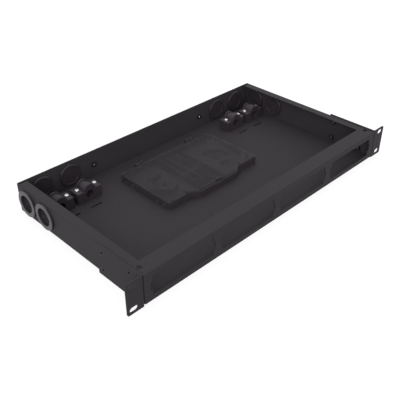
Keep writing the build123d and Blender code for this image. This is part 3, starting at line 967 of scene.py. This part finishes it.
makeScrews("earScrews", ["ear_screws"], sideways, earScrew)
makeScrews("rearScrews", ["rear_screws"], (0, 1, 0), rearScrew)
for letter in "abcd":
    makeScrews("clampScrews_" + letter, ["clamp_screws_" + letter], (0, 0, 1), clampScrew)
makeScrews("clampFloorScrews", ["clamp_floor_screws"], (0, 0, -1), floorScrew)
makeScrews("trayScrews", ["tray_screws"], (0, 0, 1), trayScrew)
print("screws cut")

clinchNut = {
    "finish": "blackSteel", "radius": 3.6, "height": 3.2, "round": 0.5, "bore": 2.1,
    "boreChamfer": 0.35, "collarRadius": 2.9, "collar": 1.4, "sides": 32,
}


def nutProfile(look):
    height, bore, chamfer = look["height"], look["bore"], look["boreChamfer"]
    collar, foot = look["collarRadius"], -look["collar"]
    profile = [(bore, foot), (bore, height - chamfer), (bore + chamfer, height)]
    profile += shoulder(look["radius"], height, look["round"])
    return rings(profile + [(look["radius"], 0), (collar, 0), (collar, foot), (bore, foot)])


def makeNuts(name, nodes, axisAt, look):
    makeTurned(name, nodes, nutProfile(look), axisAt, look["height"], look)


makeNuts("earClinchNuts", ["ear_clinch_nuts"], inwards, clinchNut)
makeNuts("rearClinchNuts", ["rear_clinch_nuts"], (0, -1, 0), clinchNut)

hingePin = {"finish": "blackSteel", "radius": 1.0, "length": 12.0, "chamfer": 0.2, "sides": 20}


def pinProfile(look):
    radius, chamfer = look["radius"], look["chamfer"]
    half = [(0, 0), (radius - chamfer, 0), (radius, -chamfer)]
    return rings(half + [(out, -look["length"] - height) for out, height in reversed(half)])


makeTurned("lidHingePins", ["lid_hinge_pins"], pinProfile(hingePin), (1, 0, 0), 0.0, hingePin)

lidRivet = {
    "finish": "clearPlastic", "headRadius": 2.4, "headHeight": 0.7, "headRound": 0.4,
    "dimple": 1.0, "dimpleDepth": 0.35, "dimpleEdge": 0.1, "stemRadius": 1.2, "stemTaper": 0.3,
    "length": 2.9, "sides": 28,
}


def rivetProfile(look):
    top, head = look["headHeight"], look["headRadius"]
    stem, taper, end = look["stemRadius"], look["stemTaper"], -look["length"]
    dimple, edge, floor = look["dimple"], look["dimpleEdge"], top - look["dimpleDepth"]
    profile = [(0, floor), (dimple - edge, floor), (dimple, top - edge), (dimple + edge, top)]
    profile += shoulder(head, top, look["headRound"])
    profile += [(head, 0), (stem, 0), (stem, end + taper), (stem - taper, end), (0, end)]
    return rings(profile)


def makeRivets(name, nodes, axisAt, look):
    makeTurned(name, nodes, rivetProfile(look), axisAt, look["headHeight"], look)


makeRivets("lidRivets", ["lid_rivets"], (0, 0, 1), lidRivet)
print("nuts, pins and rivets turned")

grommet = {
    "finish": "grommetPlastic", "sides": 72, "wall": 1.5, "cornerRound": 0.35,
    "flangeRadius": 18.0, "flangeHeight": 2.8, "flangeRound": 0.6, "flangeSteps": 6,
    "recessRadius": 12.0, "recessFloor": -2.4, "lipRound": 0.4, "neckRadius": 14.3,
    "beadRadius": 15.9, "beadEnd": -4.4, "beadRound": 1.3, "beadChamfer": 0.2, "beadSteps": 8,
    "dishRadius": 12.6, "dishFloor": -3.6, "dishRound": 0.2,
    "lugDown": 7.8, "lugHalf": (1.6, 0.6), "lugAbove": 1.2, "lugBelow": 0.6, "lugRound": 0.25,
}


def grommetProfile(look):
    # from the middle of the skin over the flange, the neck and the bead to the dish behind
    top, flange, lip = look["flangeHeight"], look["flangeRadius"], look["lipRound"]
    recess, floor, inner = look["recessRadius"], look["recessFloor"], look["cornerRound"]
    profile = [(0, floor)] + bend(recess - inner, floor + inner, inner, -90, 0)
    profile += bend(recess + lip, top - lip, lip, 180, 90)
    profile += shoulder(flange, top, look["flangeRound"], look["flangeSteps"])
    wall, chamfer = -look["wall"], look["beadChamfer"]
    profile += [(flange, 0), (look["neckRadius"], 0), (look["neckRadius"], wall)]
    bead, end, rim = look["beadRadius"], look["beadEnd"], look["beadRound"]
    profile += [(bead - chamfer, wall), (bead, wall - chamfer)]
    profile += bend(bead - rim, end + rim, rim, 0, -90, look["beadSteps"])
    dish, dishFloor, mouth = look["dishRadius"], look["dishFloor"], look["dishRound"]
    profile += bend(dish + mouth, end + mouth, mouth, 270, 180)
    profile += bend(dish - inner, dishFloor - inner, inner, 0, 90) + [(0, dishFloor)]
    return rings(profile)


def makeLug(look):
    # the small moulded lug low on the skin of a grommet, through to its inner side
    low, high = look["dishFloor"] - look["lugBelow"], look["recessFloor"] + look["lugAbove"]
    halfX, halfY = look["lugHalf"]
    mesh = bpy.data.meshes.new("lug")
    with editing(mesh) as bm:
        bmesh.ops.create_cube(bm, size=1.0)
        size = (2 * halfX * mm, 2 * halfY * mm, (high - low) * mm)
        bmesh.ops.scale(bm, vec=size, verts=bm.verts)
        place = (0, -look["lugDown"] * mm, (low + high) / 2 * mm)
        bmesh.ops.translate(bm, vec=place, verts=bm.verts)
        bmesh.ops.bevel(
            bm, geom=bm.edges[:], offset=look["lugRound"] * mm, segments=3, profile=0.5,
            affect="EDGES")
    return addObject("lug", mesh)


def outwards(low, high):
    # a grommet is thinnest along its axis and faces away from the middle of the panel
    size, away = high - low, low + high - cadLow - cadHigh
    thin = min(range(3), key=lambda i: size[i])
    axis = Vector()
    axis[thin] = math.copysign(1, away[thin])
    return axis


def makeGrommets(look):
    lug = makeLug(look)
    makeTurned("grommets", nodesNamed("grommet_"), grommetProfile(look), outwards,
               look["flangeHeight"], {**look, "extra": lug})
    bpy.data.objects.remove(lug)


makeGrommets(grommet)
print("grommets pressed in")


def makeCombTree(roundingSteps=3):
    # a plate with rows of ribs that thin towards the top, at each place
    tree = Shape("spliceCombs", {
        "Places": "Geometry", "Width": "Float", "Length": "Float", "Plate": "Float",
        "Rib": "Float", "Draft": "Float", "Rib Height": "Float", "Rib Count": "Int",
        "Gap": "Float", "Rounding": "Float", "Finish": "Material",
    })
    given = tree.given
    width, length, gap, wide = given("Width"), given("Length"), given("Gap"), given("Rib")

    def bar(bottom, top, height, half, axis):
        # stands on its base, and its section is drawn upside down as the sweep turns it over
        section = tree.node("GeometryNodeCurvePrimitiveQuadrilateral", {"mode": "TRAPEZOID"}, {
            "Bottom Width": top, "Top Width": bottom, "Offset": 0.0, "Height": height})
        soft = tree.node("GeometryNodeFilletCurve", {"mode": "POLY"}, {
            "Curve": section, "Count": roundingSteps, "Radius": given("Rounding"),
            "Limit Radius": True})
        start, end = (
            tree.node("ShaderNodeCombineXYZ", {}, {axis: half * side}) for side in (-1, 1))
        path = tree.node("GeometryNodeCurvePrimitiveLine", {}, {"Start": start, "End": end})
        swept = tree.node("GeometryNodeCurveToMesh", {}, {
            "Curve": path, "Profile Curve": soft, "Fill Caps": True})
        up = tree.node("ShaderNodeCombineXYZ", {}, {"Z": height / 2})
        return tree.node("GeometryNodeTransform", {}, {"Geometry": swept, "Translation": up})

    plate = bar(width, width, given("Plate"), length / 2, "Y")
    rib = bar(wide, wide - given("Draft"), given("Rib Height"), (width - gap) / 4, "X")
    rows = tree.node("GeometryNodeMeshGrid", {}, {
        "Size X": (width + gap) / 2, "Size Y": length - wide, "Vertices X": 2,
        "Vertices Y": given("Rib Count")})
    ribs = tree.placeAt(rows, rib)
    comb = tree.node("GeometryNodeJoinGeometry", {}, {"Geometry": [plate, ribs]})
    placed = tree.placeAt(given("Places"), comb)
    solid = tree.node("GeometryNodeRealizeInstances", {}, {"Geometry": placed})
    tree.node("NodeGroupOutput", {}, {0: tree.dress(solid, "Finish")})
    return tree


comb = {
    "Width": 22.6, "Length": 37.4, "Plate": 0.9, "Rib": 1.3, "Draft": 0.35, "Rib Height": 3.9,
    "Gap": 6.0, "Rounding": 0.22, "Rib Count": 9,
}


def makeCombs(look):
    nodes = nodesNamed("comb_")
    piece = placesOn("spliceCombs", nodes, (0, 0, 1), look["Rib Height"])
    values = {label: value * mm for label, value in look.items() if isinstance(value, float)}
    values["Rib Count"] = look["Rib Count"]
    makeCombTree().apply(piece, {**values, "Finish": finishes["combPlastic"]})
    standFor(piece, nodes)


makeCombs(comb)
print("splice combs made")
